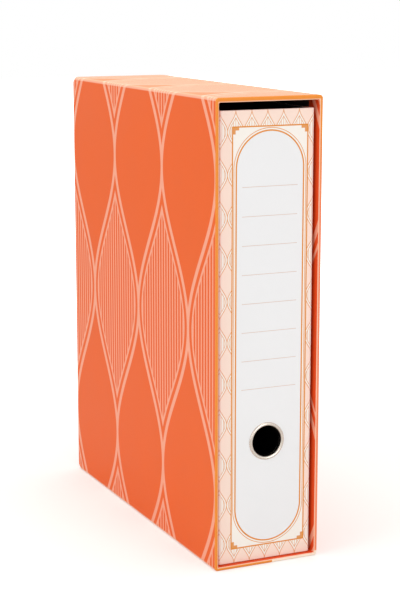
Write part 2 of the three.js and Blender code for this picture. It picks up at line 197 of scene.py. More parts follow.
def swatch(name, description, *screen_values):
    """A colour that a user can change, with its default as 0 to 255 screen values."""
    return FloatVectorProperty(
        name=name, description=description, default=srgb(*screen_values), size=4, min=0.0, max=1.0,
        subtype="COLOR")


PRINT_WORDS = {
    "pitch": ("Pitch", "Distance between columns of ogees"),
    "row": ("Row", "Height of an ogee"),
    "middle": ("Middle", "Height of a row's middle above the floor"),
    "inset": ("Inset", "Distance of the inner outline from the outer one"),
    "line": ("Line", "Width of the outer outline"),
    "fine_line": ("Fine line", "Width of the pinstripes"),
    "stripe_pitch": ("Stripe pitch", "Distance between pinstripes"),
    "softness": ("Softness", "Width over which an edge of the ink fades"),
}


def print_settings(**millimetres):
    """The lengths of one ogee print, with their names and descriptions."""
    return {key: length(*PRINT_WORDS[key], size) for key, size in millimetres.items()}


class CaseSizes(bpy.types.PropertyGroup):
    """The slipcase's board, corners and edges."""

    board: length("Board", "Thickness of the sides, floor and back", 2.75)
    top_board: length("Top board", "Thickness of the top, where two flaps lie", 3.5)
    corner: length("Corner", "Radius of the long corners at the mouth", 2.5)
    inner_corner: length("Inner corner", "Radius of the long corners inside", 1.5)
    mouth_edge: length("Mouth edge", "Radius of the mouth's edges", 1.1)
    back_edge: length("Back edge", "Radius of the edges round the back", 2.0)
    heel_round: length("Heel round", "How much rounder the long corners get towards the back", 5.0)
    heel_turn: FloatProperty(
        name="Heel turn", description="Share of a circle over which they get rounder",
        default=math.pi / 3, subtype="ANGLE")
    turn_in: length("Turn-in", "Depth to which the wrap is folded into the mouth", 17.0)
    foot_seam: length("Foot seam", "Place across the mouth's foot where the paler paper starts", 4.5)
    rim: length("Rim", "Width of the paler line along the mouth's inner edge", 0.7)
    seam_height: length("Seam height", "Height to which the right mouth edge has the side's colour", 300.0)


class CasePrint(bpy.types.PropertyGroup):
    """The ogee print on the slipcase."""

    __annotations__ = print_settings(
        pitch=96.7, row=234.0, middle=175.0, inset=7.5, line=4.3, fine_line=2.0, stripe_pitch=4.9,
        softness=0.3)


class CoverSizes(bpy.types.PropertyGroup):
    """The file cover's board, corners and creases."""

    board: length("Board", "Thickness of the cover", 2.25)
    corner: length("Corner", "Radius of the corners beside the spine", 2.2)
    end: length("End", "Radius of the upper and lower edges", 0.6)
    crease_radius: length("Crease radius", "Radius of the creases' hollows", 0.9)
    crease_depth: length("Crease depth", "Depth of the creases", 0.6)
    crease_place: length("Crease place", "Distance of the creases from the spine", 8.0)


class CoverPrint(bpy.types.PropertyGroup):
    """The small ogee print on the file cover."""

    __annotations__ = print_settings(
        pitch=12.75, row=30.7, middle=171.75, inset=1.5, line=0.55, fine_line=0.36, stripe_pitch=1.9,
        softness=0.12)


class LabelSizes(bpy.types.PropertyGroup):
    """The printed label on the spine: a frame, an oval panel in it and ruled lines."""

    across: length("Across", "Middle of the label across the spine", 2.3)
    up: length("Up", "Middle of the label above the floor", 171.4)
    half_width: length("Half width", "Half the frame's width", 30.3)
    half_height: length("Half height", "Half the frame's height", 157.2)
    frame_line: length("Frame line", "Width of the frame's line", 1.0)
    long_step: length("Long step", "Reach of the frame's corner steps along it", 5.2)
    short_step: length("Short step", "Reach of the frame's corner steps across it", 2.4)
    panel_gap: length("Panel gap", "Distance from the frame to the oval panel", 3.1)
    panel_line: length("Panel line", "Width of the panel's line", 1.1)
    halo_gap: length("Halo gap", "Distance from the panel to the thin line round it", 1.9)
    halo_line: length("Halo line", "Width of the thin line round the panel", 0.5)
    first_rule: length("First rule", "Height of the top ruled line above the floor", 285.2)
    last_rule: length("Last rule", "Height of the bottom ruled line above the floor", 135.4)
    rule_pitch: length("Rule pitch", "Distance between ruled lines", 21.4)
    rule_half: length("Rule half length", "Half a ruled line's length", 22.4)
    rule_line: length("Rule line", "Width of a ruled line", 0.4)
    softness: length("Softness", "Width over which an edge of the ink fades", 0.15)


class RingSizes(bpy.types.PropertyGroup):
    """The finger ring in the spine."""

    bore: length("Bore", "Radius of the finger hole", 11.75)
    wall: length("Wall", "Thickness of the ring's tube", 0.6)
    bead: length("Bead", "Height of the bead above the spine", 1.3)
    lip: length("Lip", "Reach of the lip that is closed over the washer", 1.2)
    washer: length("Washer", "Thickness of the washer behind the spine", 0.75)
    gap: length("Gap", "Running gap round the ring", 0.3)


class WireSizes(bpy.types.PropertyGroup):
    """The arch wire of the mechanism."""

    radius: length("Radius", "Half the wire's thickness", 2.0)
    bend: length("Bend", "Radius of the wire's small bends", 4.0)
    tip: length("Tip", "Height of the wire's ends above the board", 36.3)
    tip_length: length("Tip length", "Length of the straight ends", 3.0)
    span: length("Span", "Distance from the wire's axis to the posts", 40.0)
    crank_reach: length("Crank reach", "Reach of the crank that the lever presses", 11.0)
    crank_start: length("Crank start", "Height of the crank's lower end above the middle", 27.0)
    spacing: length("Spacing", "Distance between the two arches", 80.0)


class PostSizes(bpy.types.PropertyGroup):
    """The two posts of the mechanism."""

    radius: length("Radius", "Half a post's thickness", 2.75)
    top: length("Top", "Height of a post above the board", 36.0)
    rim: length("Rim", "Radius of the post's upper edge", 0.5)
    cup: length("Cup", "Radius of the hollow in the post's end", 1.6)
    cup_depth: length("Cup depth", "Depth of the hollow", 4.0)
    flange: length("Flange", "Reach of the post's foot beyond it", 1.75)
    flange_thick: length("Flange thickness", "Thickness of the post's foot", 1.0)
    plate: length("Plate", "Thickness of the plate that the post stands on", 1.0)


class WrapColours(bpy.types.PropertyGroup):
    """Colours of the printed papers."""

    case_field: swatch("Slipcase", "Field of the slipcase's wrap", 241, 102, 36)
    case_ink: swatch("Slipcase ink", "Ogees on the slipcase's wrap", 252, 172, 142)
    # Painted light: the top is the same wrap as the sides, painted a lighter amber with paler ogees for the strong
    # light that falls on it
    top_field: swatch("Top", "Field of the wrap on the slipcase's top", 240, 146, 80)
    top_ink: swatch("Top ink", "Ogees on the slipcase's top", 252, 216, 190)
    mouth: swatch("Mouth", "Edge of the slipcase's mouth", 240, 146, 60)
    mouth_side: swatch("Mouth side", "Right edge of the mouth", 246, 138, 98)
    foot: swatch("Foot", "Paler paper at the right of the mouth's foot", 255, 234, 214)
    # Pale edge colour: a painted highlight with wear, on the slipcase's corners, back edges and mouth rim
    worn: swatch("Worn edge", "Rubbed corners and the mouth's inner edge", 254, 214, 186)
    # Painted shade: the turn-in is the same wrap as the outside, painted a deeper orange for the shade inside the
    # mouth
    turn_in: swatch("Turn-in", "Wrap folded into the slipcase", 238, 84, 34)
    lining: swatch("Lining", "Inside of the slipcase and the cover", 62, 54, 54)
    cover_field: swatch("Cover", "Field of the cover's wrap", 250, 244, 236)
    cover_tint: swatch("Cover tint", "Tinted ogees on the cover's wrap", 253, 227, 212)
    cover_ink: swatch("Cover ink", "Lines on the cover and round the label", 226, 138, 20)
    label: swatch("Label", "The label's panel", 240, 240, 241)
    rule: swatch("Rule", "Ruled lines on the label", 213, 178, 160)


class MetalColours(bpy.types.PropertyGroup):
    """Colours of the plated and moulded parts."""

    nickel: swatch("Nickel", "Bright nickel plate", 218, 208, 197)
    steel: swatch("Steel", "Plain plated steel", 190, 190, 192)
    plastic: swatch("Plastic", "Moulded compressor bar", 34, 34, 36)


class StudioLight(bpy.types.PropertyGroup):
    """Strengths of the lamps and the surrounding light."""

    world: FloatProperty(name="Surroundings", description="Strength of the light from all round", default=0.6)
    key: FloatProperty(name="Key", description="Power of the lamp in front", default=8.0, unit="POWER")
    top: FloatProperty(name="Top", description="Power of the lamp overhead", default=7.2, unit="POWER")
    side: FloatProperty(name="Side", description="Power of the lamp on the left", default=8.0, unit="POWER")
    top_tint: swatch("Top tint", "Colour of the lamp overhead", 255, 250, 237)
    glow: FloatProperty(
        name="Floor glow", description="Light added where the camera sees the floor", default=0.3)
    fade_start: length("Fade start", "Distance at which the floor starts to fade to white", 350.0)
    fade_length: length("Fade length", "Distance over which it fades", 500.0)


def mm(metres):
    """Metres as the millimetres that the prints are drawn in."""
    return metres / MM


def setting_names(settings):
    return [name for name in settings.bl_rna.properties.keys() if name not in {"rna_type", "name"}]


def in_millimetres(settings):
    """All the lengths of a group of settings in millimetres, by their names."""
    return SimpleNamespace(**{name: mm(getattr(settings, name)) for name in setting_names(settings)})


class Term:
    """A value inside a node tree: arithmetic on terms adds Math nodes."""

    def __init__(self, tree, source):
        self.tree = tree
        self.source = source

    def math(self, operation, *others, clamp=False):
        inputs = dict(enumerate((self, *others)))
        node = add_node(self.tree, "Math", inputs, operation=operation, use_clamp=clamp)
        return Term(self.tree, node.outputs[0])

    def __add__(self, other):
        return self.math("ADD", other)

    def __sub__(self, other):
        return self.math("SUBTRACT", other)

    def __mul__(self, other):
        return self.math("MULTIPLY", other)

    def __truediv__(self, other):
        return self.math("DIVIDE", other)

    def __neg__(self):
        return self * -1.0

    def inverted(self):
        return -self + 1.0

    def size(self):
        return self.math("ABSOLUTE")

    def either(self, other):
        return self.math("MAXIMUM", other)

    def nearer(self, other):
        return self.math("MINIMUM", other)

    def below(self, limit, softness):
        """1 where the term is under the limit and 0 above it, over a soft edge."""
        return ((-self + limit) / softness).math("ADD", 0.5, clamp=True)


def connect(tree, value, socket):
    """Links a term to a socket, or sets the socket to a plain value."""
    if isinstance(value, Term):
        tree.links.new(value.source, socket)
    else:
        socket.default_value = value


def add_node(tree, kind, inputs=None, **settings):
    """A new shader node with its settings made and its inputs, by name or number, filled."""
    node = tree.nodes.new(f"ShaderNode{kind}")
    for name, value in settings.items():
        setattr(node, name, value)
    for key, value in (inputs or {}).items():
        connect(tree, value, node.inputs[key])
    return node


def new_group(name, inputs, outputs):
    """A shader node group: its tree, its inputs as terms by name and its output node."""
    tree = bpy.data.node_groups.new(name, "ShaderNodeTree")
    for label in inputs:
        kind = "NodeSocketVector" if label == "Vector" else "NodeSocketFloat"
        tree.interface.new_socket(label, in_out="INPUT", socket_type=kind)
    for label in outputs:
        tree.interface.new_socket(label, in_out="OUTPUT", socket_type="NodeSocketFloat")
    entry = tree.nodes.new("NodeGroupInput")
    terms = {label: Term(tree, entry.outputs[label]) for label in inputs}
    return tree, terms, tree.nodes.new("NodeGroupOutput")


def ogee_group():
    """A trellis of tall ogees, every second one lined with upright pinstripes.

    With u the distance from a column's middle line, v the height from a row's middle, W half the
    pitch and H half the row, an ogee's edge is u = W (1 + cos(pi v / H)) / 2. The distance past
    it is (u - edge) / sqrt(1 + slope slope), where slope is (pi W / 2 H) sin(pi v / H). All
    lengths are millimetres.
    """
    inputs = ("Across", "Up", "Pitch", "Row", "Inset", "Line", "Fine Line", "Stripe Pitch", "Softness")
    tree, t, leave = new_group("Ogee print", inputs, ("Lines", "Stripes", "Field"))
    wide = t["Pitch"] * 0.5
    high = t["Row"] * 0.5
    u = t["Across"].math("PINGPONG", wide)
    turn = (t["Up"].math("PINGPONG", high) / high) * math.pi
    edge = (turn.math("COSINE") + 1.0) * (wide * 0.5)
    slope = turn.math("SINE") * ((wide / high) * (math.pi / 2))
    past = (u - edge) / ((slope * slope) + 1.0).math("SQRT")
    soft = t["Softness"]
    outline = past.size().below(t["Line"] * 0.5, soft)
    nested = (past + t["Inset"]).size().below(t["Fine Line"] * INNER_LINE, soft)
    core = past.below(-t["Inset"], soft)
    stripes = u.math("PINGPONG", t["Stripe Pitch"] * 0.5).below(t["Fine Line"] * 0.5, soft) * core
    connect(tree, outline.either(nested), leave.inputs["Lines"])
    connect(tree, stripes, leave.inputs["Stripes"])
    connect(tree, past.below(0.0, soft), leave.inputs["Field"])
    return tree


def board_group():
    """Laminated board: fine tooth for the bump, mottling for the colour and gloss."""
    inputs = ("Vector", "Tooth Scale", "Mottle Scale")
    tree, t, leave = new_group("Laminated board", inputs, ("Height", "Mottle"))
    noises = (("Tooth Scale", TOOTH_DETAIL, "Height"), ("Mottle Scale", MOTTLE_DETAIL, "Mottle"))
    for scale, detail, output in noises:
        inputs = {"Vector": t["Vector"], "Scale": t[scale], "Detail": detail}
        noise = add_node(tree, "TexNoise", inputs)
        connect(tree, Term(tree, noise.outputs["Fac"]), leave.inputs[output])
    return tree


class Finish:
    """A material under construction, with short calls for the nodes that the finishes share."""

    def __init__(self, name):
        self.surface = SURFACES[name]
        material = bpy.data.materials.new(name)
        material.use_nodes = True
        self.tree = material.node_tree
        self.shader = self.tree.nodes["Principled BSDF"]
        self.shader.inputs["Metallic"].default_value = self.surface.metallic

    def parts(self, kind, output, **settings):
        """The three parts of a node's coordinates, turned from metres to millimetres."""
        source = add_node(self.tree, kind, **settings)
        split = add_node(self.tree, "SeparateXYZ", {0: Term(self.tree, source.outputs[output])})
        return [Term(self.tree, socket) * mm(1.0) for socket in split.outputs]

    def place(self):
        """Object coordinates in millimetres as three terms."""
        return self.parts("TexCoord", "Object")

    def attribute(self, name):
        node = add_node(self.tree, "Attribute", attribute_name=name)
        return Term(self.tree, node.outputs["Fac"])

    def group(self, tree, **values):
        """A node group's outputs by name. An underscore stands for a space in an input's name."""
        inputs = {label.replace("_", " "): value for label, value in values.items()}
        node = add_node(self.tree, "Group", inputs, node_tree=tree)
        return {socket.name: Term(self.tree, socket) for socket in node.outputs}

    def printed(self, ogees, settings):
        """The ogee print, drawn in the wrap's own coordinates along the sheet and up it."""
        along, up, _ = self.parts("UVMap", "UV", uv_map="wrap")
        sizes = vars(in_millimetres(settings))
        up_row = up - sizes.pop("middle")
        values = {name.title(): size for name, size in sizes.items()}
        return self.group(ogees, Across=along, Up=up_row, **values)

    def mix(self, mask, first, second):
        """The first colour where the mask is 0 and the second where it is 1."""
        node = add_node(self.tree, "Mix", {"Factor": mask, "A": first, "B": second}, data_type="RGBA")
        return Term(self.tree, node.outputs["Result"])

    def coat(self, board, colour):
        """Gives the surface its colour, gloss and relief, each moved a little by its grain."""
        surface = self.surface
        place = Term(self.tree, add_node(self.tree, "TexCoord").outputs["Object"])
        grain = self.group(
            board, Vector=place, Tooth_Scale=surface.tooth_scale, Mottle_Scale=surface.mottle_scale)
        mottle = grain["Mottle"]
        shade = mottle * surface.tint + (1 - surface.tint / 2)
        shaded = add_node(self.tree, "VectorMath", {0: colour, "Scale": shade}, operation="SCALE")
        gloss = mottle * surface.gloss_range + (surface.roughness - surface.gloss_range / 2)
        relief = {"Strength": surface.relief, "Distance": surface.depth, "Height": grain["Height"]}
        bump = add_node(self.tree, "Bump", relief)
        connect(self.tree, Term(self.tree, shaded.outputs[0]), self.shader.inputs["Base Color"])
        connect(self.tree, gloss, self.shader.inputs["Roughness"])
        connect(self.tree, Term(self.tree, bump.outputs["Normal"]), self.shader.inputs["Normal"])


def case_paper(scene, ogees, board):
    """Orange wrap with salmon ogees and pinstripes, amber mouth edges and a dark lining; the top is painted
    lighter as painted light, the edges and mouth rim carry a painted highlight with wear, and the folded-in wrap a
    painted shade.
    """
    sizes = scene.case_sizes
    inks = scene.wrap_colours
    finish = Finish("Slipcase paper")
    x, y, z = finish.place()
    ogee = finish.printed(ogees, scene.case_print)
    ink = ogee["Lines"].either(ogee["Stripes"] * STRIPE_INK)
    sides = finish.mix(ink, inks.case_field, inks.case_ink)
    # Painted light: the top's print is drawn in the lighter top colours
    top = finish.mix(ink, inks.top_field, inks.top_ink)
    colour = finish.mix(finish.attribute("top"), sides, top)
    # Painted highlight with wear on the rounded corners and back edges
    colour = finish.mix(finish.attribute("edge") * CASE_WEAR_AND_HIGHLIGHT, colour, inks.worn)
    colour = finish.mix(finish.attribute("mouth"), colour, case_mouth(finish, sizes, inks, x, z))
    # The folded-in wrap keeps the print on the deeper orange: painted shade
    folded_in_shaded = finish.mix(ogee["Lines"], inks.turn_in, inks.case_ink)
    past_turn_in = y.below(mm(CASE_LOW.y + sizes.turn_in), RIM_BLEND).inverted()
    inner = finish.mix(past_turn_in, folded_in_shaded, inks.lining)
    finish.coat(board, finish.mix(finish.attribute("inside"), colour, inner))
    finish.shader.inputs["Specular IOR Level"].default_value = CASE_SHEEN


def case_mouth(finish, sizes, inks, x, z):
    """The mouth's edge: amber, paler along its inner rim, where a highlight is painted with wear, and at
    the right of its foot, and the side's own colour down its right edge."""
    board = mm(sizes.board)
    right = x.below(mm(CASE_HIGH.x) - board * RIGHT_REACH, SEAM_BLEND).inverted()
    colour = finish.mix(right * z.below(mm(sizes.seam_height), SIDE_FADE), inks.mouth, inks.mouth_side)
    past_seam = x.below(mm(sizes.foot_seam), SEAM_BLEND).inverted()
    colour = finish.mix(past_seam * z.below(board * FOOT_REACH, FOOT_BLEND), colour, inks.foot)
    from_side = -(x.size() - mm(CASE_HIGH.x))
    from_end = z.nearer(-(z - mm(CASE_HIGH.z - sizes.top_board + sizes.board)))
    # The inner rim takes the pale edge colour: a painted highlight with wear
    rim = from_side.nearer(from_end).below(mm(sizes.board - sizes.rim), RIM_BLEND).inverted()
    return finish.mix(rim * MOUTH_RIM_WEAR_AND_HIGHLIGHT, colour, inks.worn)


def cover_paper(scene, ogees, board):
    """Cream wrap with small ogees in thin orange, a printed label and a dark lining."""
    inks = scene.wrap_colours
    finish = Finish("Cover paper")
    x, _, z = finish.place()
    ogee = finish.printed(ogees, scene.cover_print)
    field = finish.mix(ogee["Field"].inverted(), inks.cover_field, inks.cover_tint)
    ink = ogee["Lines"].either(ogee["Stripes"])
    colour = finish.mix(ink * COVER_INK, field, inks.cover_ink)
    colour = label_print(finish, in_millimetres(scene.label_sizes), inks, colour, x, z)
    colour = finish.mix(finish.attribute("edge") * COVER_WEAR, colour, inks.cover_field)
    finish.coat(board, finish.mix(finish.attribute("inside"), colour, inks.lining))


def label_print(finish, sizes, inks, colour, x, z):
    """The label over the cover's own colour: a frame with stepped corners, a tall panel with
    half-round ends and ruled lines. A point's distance outside the panel is |(x, q)| - half
    width, where q is how far its height lies past the panel's straight part."""
    soft = sizes.softness
    across = x - sizes.across
    rise = z - sizes.up
    beside = across.size() - sizes.half_width
    beyond = rise.size() - sizes.half_height
    outside = beside.either(beyond)
    paper = outside.below(0.0, soft)
    colour = finish.mix(paper, colour, inks.cover_field)
    long_x, long_z, short_x, short_z = [
        (-term).below(reach, soft)
        for reach in (sizes.long_step, sizes.short_step) for term in (beside, beyond)
    ]
    steps = (long_x * short_z).either(short_x * long_z) * paper
    past = (rise.size() - (sizes.half_height - sizes.half_width)).either(0.0)
    from_panel = (across * across + past * past).math("SQRT") - (sizes.half_width - sizes.panel_gap)
    halo = (from_panel - sizes.halo_gap).size().below(sizes.halo_line / 2, soft)
    lines = outside.size().below(sizes.frame_line / 2, soft)
    lines = lines.either(from_panel.size().below(sizes.panel_line / 2, soft)).either(halo * paper)
    colour = finish.mix(from_panel.below(0.0, soft), colour, inks.label)
    colour = finish.mix(lines.either(steps * STEP_INK), colour, inks.cover_ink)
    from_rule = (-(z - sizes.first_rule)).math("PINGPONG", sizes.rule_pitch / 2)
    spare = sizes.rule_pitch / SPARE_PARTS
    rows = z.below(sizes.first_rule + spare, soft) * z.below(sizes.last_rule - spare, soft).inverted()
    rules = from_rule.below(sizes.rule_line / 2, soft) * across.size().below(sizes.rule_half, soft)
    return finish.mix(rules * rows * RULE_INK, colour, inks.rule)


def finish_named(scene, name):
    """A finish by its name. All are made at the first call: the two papers, plated metal with
    faint polishing marks in its gloss, and plastic with a fine spark-eroded grain."""
    if name not in bpy.data.materials:
        ogees = ogee_group()
        board = board_group()
        case_paper(scene, ogees, board)
        cover_paper(scene, ogees, board)
        tones = scene.metal_colours
        for title, tone in zip(METAL_FINISHES.values(), (tones.nickel, tones.steel, tones.plastic)):
            Finish(title).coat(board, tone[:3])
    return bpy.data.materials[name]


def arc(centre, radius, start, stop, count):
    """Points centre + radius (cos a, sin a) for angles a from start to stop."""
    angle = np.linspace(start, stop, count + 1)
    return np.stack([centre[0] + radius * np.cos(angle), centre[1] + radius * np.sin(angle)], 1)


def grid_faces(rows, columns, close_rows=False):
    """Quads of a grid, with the last column joined to the first and, if asked, rows too."""
    row = np.arange(rows if close_rows else rows - 1)
    r, c = np.meshgrid(row, np.arange(columns), indexing="ij")
    r2 = (r + 1) % rows
    c2 = (c + 1) % columns
    quads = np.stack([r * columns + c, r * columns + c2, r2 * columns + c2, r2 * columns + c], -1)
    return quads.reshape(-1, 4)


def mesh_object(name, points, faces, material):
    """A mesh object at the origin from point and face arrays, turned so its faces point out."""
    mesh = bpy.data.meshes.new(name)
    mesh.from_pydata(np.asarray(points).tolist(), [], [list(map(int, face)) for face in faces])
    mesh.validate()
    mesh.update()
    if signed_volume(mesh) < 0:
        mesh.flip_normals()
    obj = bpy.data.objects.new(name, mesh)
    bpy.context.scene.collection.objects.link(obj)
    mesh.materials.append(material)
    return obj


def read(items, name, width=3, kind=float):
    """One value or vector of each item in a mesh's collection, as the rows of an array."""
    values = np.zeros(len(items) * width, kind)
    items.foreach_get(name, values)
    return values.reshape(-1, width)


def signed_volume(mesh):
    """A sixth of the sum of a . (b x c) over the triangles, positive when faces point out."""
    mesh.calc_loop_triangles()
    corners = read(mesh.loop_triangles, "vertices", 3, np.int32)
    a, b, c = read(mesh.vertices, "co")[corners].transpose(1, 0, 2)
    return float(np.einsum("ij,ij->", a, np.cross(b, c)) / 6)


def smooth(obj, angle):
    """Smooth shading, with edges that turn by more than the angle in degrees kept crisp."""
    obj.data.shade_smooth()
    obj.data.set_sharp_from_angle(angle=math.radians(angle))


def weighted(obj):
    """Face-weighted normals, so the broad flats stay flat beside their rounded edges."""
    modifier = obj.modifiers.new("Weighted normals", "WEIGHTED_NORMAL")
    modifier.keep_sharp = True
    modifier.weight = FLAT_WEIGHT


def set_wrap(mesh, along, up):
    """Writes the wrap coordinates, given per loop in metres, to the UV map that the print reads."""
    layer = mesh.uv_layers.new(name="wrap")
    layer.data.foreach_set("uv", np.stack([along, up], 1).astype(np.float32).ravel())


def loop_points(mesh):
    """Each loop's position and the number of the face that it belongs to."""
    corner = read(mesh.loops, "vertex_index", 1, np.int32)[:, 0]
    totals = read(mesh.polygons, "loop_total", 1, np.int32)[:, 0]
    return read(mesh.vertices, "co")[corner], np.repeat(np.arange(len(totals)), totals)


def set_values(mesh, name, domain, values):
    attribute = mesh.attributes.new(name, "FLOAT", domain)
    attribute.data.foreach_set("value", np.asarray(values, np.float32))


def rounded_rectangle(half_width, low, high, radius):
    """Counter-clockwise outline: four corner arcs about the corners, moved in by the radius."""
    x = half_width - radius
    z0 = low + radius
    z1 = high - radius
    corners = [(x, z1), (-x, z1), (-x, z0), (x, z0)]
    arcs = [arc(centre, radius, i * math.pi / 2, (i + 1) * math.pi / 2, CORNER_STEPS)
            for i, centre in enumerate(corners)]
    return np.concatenate(arcs)


def case_ring(inset, top_inset, y, radius):
    """The case's outline in the plane across y, drawn in by one inset, or another at the top."""
    outline = rounded_rectangle(CASE_HIGH.x - inset, CASE_LOW.z + inset, CASE_HIGH.z - top_inset, radius)
    return np.stack([outline[:, 0], np.full(len(outline), y), outline[:, 1]], 1)


def case_shell(sizes):
    """The slipcase's shell: rounded rectangles strung along the path inner back, mouth, outer
    back, with long corners that round off by R (1 - cos a) towards the back. One more rectangle
    on the back itself keeps its shading flat."""
    board = sizes.board
    edge = sizes.mouth_edge
    mouth = CASE_LOW.y + edge
    back = CASE_HIGH.y - sizes.back_edge
    front = np.concatenate([
        [[board, CASE_HIGH.y - board], [board, CASE_LOW.y + sizes.turn_in]],
        arc((board - edge, mouth), edge, 0, -math.pi / 2, EDGE_STEPS),
        arc((edge, mouth), edge, -math.pi / 2, -math.pi, EDGE_STEPS),
    ])
    thicker = sizes.top_board / board
    rings = [
        case_ring(inset, inset * thicker, y, max(sizes.corner - inset, sizes.inner_corner))
        for inset, y in front
    ]
    turn = np.linspace(0, sizes.heel_turn, HEEL_STEPS)
    rounding = sizes.corner + sizes.heel_round * (1 - np.cos(turn))
    places = back - sizes.heel_round * (math.sin(sizes.heel_turn) - np.sin(turn))
    rings += [case_ring(0, 0, y, radius) for y, radius in zip(places, rounding)]
    heel = arc((sizes.back_edge, back), sizes.back_edge, math.pi, math.pi / 2, HEEL_STEPS)[1:].tolist()
    heel.append((2 * sizes.back_edge, CASE_HIGH.y))
    rings += [case_ring(inset, inset, y, rounding[-1] - min(inset, sizes.back_edge)) for inset, y in heel]
    return lofted(rings)


def lofted(rings):
    """Rings of equal length as the points and faces of a tube with closed ends."""
    count = len(rings[0])
    last = (len(rings) - 1) * count
    faces = grid_faces(len(rings), count).tolist()
    faces += [list(range(count)), list(range(last + count - 1, last - 1, -1))]
    return np.concatenate(rings), faces


def dress_case(obj, sizes):
    """Wrap coordinates run round the case from the left mouth edge over the back to the right
    one; on the top and the underside they run straight back and across."""
    mesh = obj.data
    centres = read(mesh.polygons, "center")
    normals = read(mesh.polygons, "normal")
    points, owner = loop_points(mesh)
    width = CASE_HIGH.x - CASE_LOW.x
    depth = CASE_HIGH.y - CASE_LOW.y
    main_axis = np.abs(normals).argmax(1)
    axis = main_axis[owner]
    sign = np.take_along_axis(normals, main_axis[:, None], 1)[:, 0][owner]
    x, y, z = points.T
    from_mouth = y - CASE_LOW.y
    along = np.where(axis == 1, depth + (x - CASE_LOW.x), from_mouth)
    along = np.where((axis == 0) & (x > 0), 2 * depth + width - from_mouth, along)
    over = CASE_HIGH.z + (x - CASE_LOW.x)
    under = CASE_LOW.x - x
    up = np.where(axis == 2, np.where(sign > 0, over, under), z)
    set_wrap(mesh, along, up)
    cx, cy, cz = centres.T
    inside = (np.abs(cx) < CASE_HIGH.x - sizes.board + NEAR) & (cz > CASE_LOW.z + sizes.board - NEAR)
    inside &= (cz < CASE_HIGH.z - sizes.top_board + NEAR) & (cy < CASE_HIGH.y - sizes.board + NEAR)
    set_values(mesh, "inside", "FACE", inside)
    set_values(mesh, "mouth", "FACE", (cy < CASE_LOW.y + MOUTH_SHARE * sizes.mouth_edge) & ~inside)
    # The faces of the top, which take the painted light of the lighter top colours
    painted_light_top_faces = (normals[:, 2] > TOP_RISE) & (cz > CASE_HIGH.z - sizes.board)
    set_values(mesh, "top", "FACE", painted_light_top_faces)
    vx, vy, vz = read(mesh.vertices, "co").T
    near_side = CASE_HIGH.x - np.abs(vx)
    near_end = np.minimum(vz - CASE_LOW.z, CASE_HIGH.z - vz)
    near_back = CASE_HIGH.y - vy
    # Points near the long corners and round the back take the pale edge colour: a painted highlight with wear
    worn = sizes.corner * CORNER_SHARE
    on_corner = (near_side < worn) & (near_end < worn)
    back_wear_and_highlight = sizes.back_edge * BACK_SHARE
    on_back = (near_back < back_wear_and_highlight) & ((near_side < back_wear_and_highlight) | (near_end < back_wear_and_highlight))
    set_values(mesh, "edge", "POINT", on_corner | on_back)


def cover_outline(sizes):
    """The U section as one closed outline: right half from the spine's middle, then its mirror."""
    side = COVER_HIGH.x
    spine = COVER_LOW.y
    lip = sizes.board / 2
    radius = sizes.crease_radius
    open_angle = math.acos((radius - sizes.crease_depth) / radius)
    crease = (side + radius - sizes.crease_depth, spine + sizes.crease_place)
    half = np.concatenate([
        arc((side - sizes.corner, spine + sizes.corner), sizes.corner, -math.pi / 2, 0, CREASE_STEPS),
        arc(crease, radius, math.pi + open_angle, math.pi - open_angle, CREASE_STEPS),
        arc((side - lip, COVER_HIGH.y - lip), lip, 0, math.pi, LIP_STEPS),
        arc((side - sizes.board, spine + sizes.board), radius, math.pi / 2, -math.pi, FOLD_STEPS),
    ])
    return np.concatenate([half, half[::-1] * (-1, 1)])


def inset_outline(outline, distance):
    """The outline moved inwards along its corner bisectors."""
    ahead = np.roll(outline, -1, 0) - outline
    behind = outline - np.roll(outline, 1, 0)
    ahead /= np.linalg.norm(ahead, axis=1)[:, None]
    behind /= np.linalg.norm(behind, axis=1)[:, None]
    tangent = ahead + behind
    tangent /= np.linalg.norm(tangent, axis=1)[:, None]
    normal = np.stack([-tangent[:, 1], tangent[:, 0]], 1)
    cosine = np.clip((normal * np.stack([-ahead[:, 1], ahead[:, 0]], 1)).sum(1), FOLD_LIMIT, 1)
    return outline + normal * (distance / cosine)[:, None]


def cover_shell(sizes):
    """The U section stacked up the file, drawn in at its rounded ends by e (1 - sin a)."""
    outline = cover_outline(sizes)
    quarter = np.linspace(0, math.pi / 2, EDGE_STEPS)
    insets = sizes.end * (1 - np.sin(quarter))
    heights = sizes.end * (1 - np.cos(quarter))
    low = [(inset, COVER_LOW.z + height) for inset, height in zip(insets, heights)]
    high = [(inset, COVER_HIGH.z - height) for inset, height in zip(insets[::-1], heights[::-1])]
    rings = []
    for inset, z in low + high:
        drawn = inset_outline(outline, inset)
        rings.append(np.column_stack([drawn, np.full(len(drawn), z)]))
    return lofted(rings)


RING_CENTRE = Vector(((RING_LOW.x + RING_HIGH.x) / 2, COVER_LOW.y, (RING_LOW.z + RING_HIGH.z) / 2))


def cut_hole(obj, centre, radius, depth):
    """Cuts a round hole along Y with an exact boolean and keeps the result as the mesh."""
    bpy.ops.mesh.primitive_cylinder_add(
        vertices=HOLE_SIDES, radius=radius, depth=depth, location=centre, rotation=(math.pi / 2, 0, 0))
    cutter = bpy.context.active_object
    modifier = obj.modifiers.new("Hole", "BOOLEAN")
    modifier.object = cutter
    modifier.operation = "DIFFERENCE"
    modifier.solver = "EXACT"
    bpy.context.view_layer.update()
    evaluated = obj.evaluated_get(bpy.context.evaluated_depsgraph_get())
    cut = bpy.data.meshes.new_from_object(evaluated)
    obj.modifiers.clear()
    material = obj.data.materials[0]
    obj.data = cut
    cut.materials.clear()
    cut.materials.append(material)
    bpy.data.objects.remove(cutter)


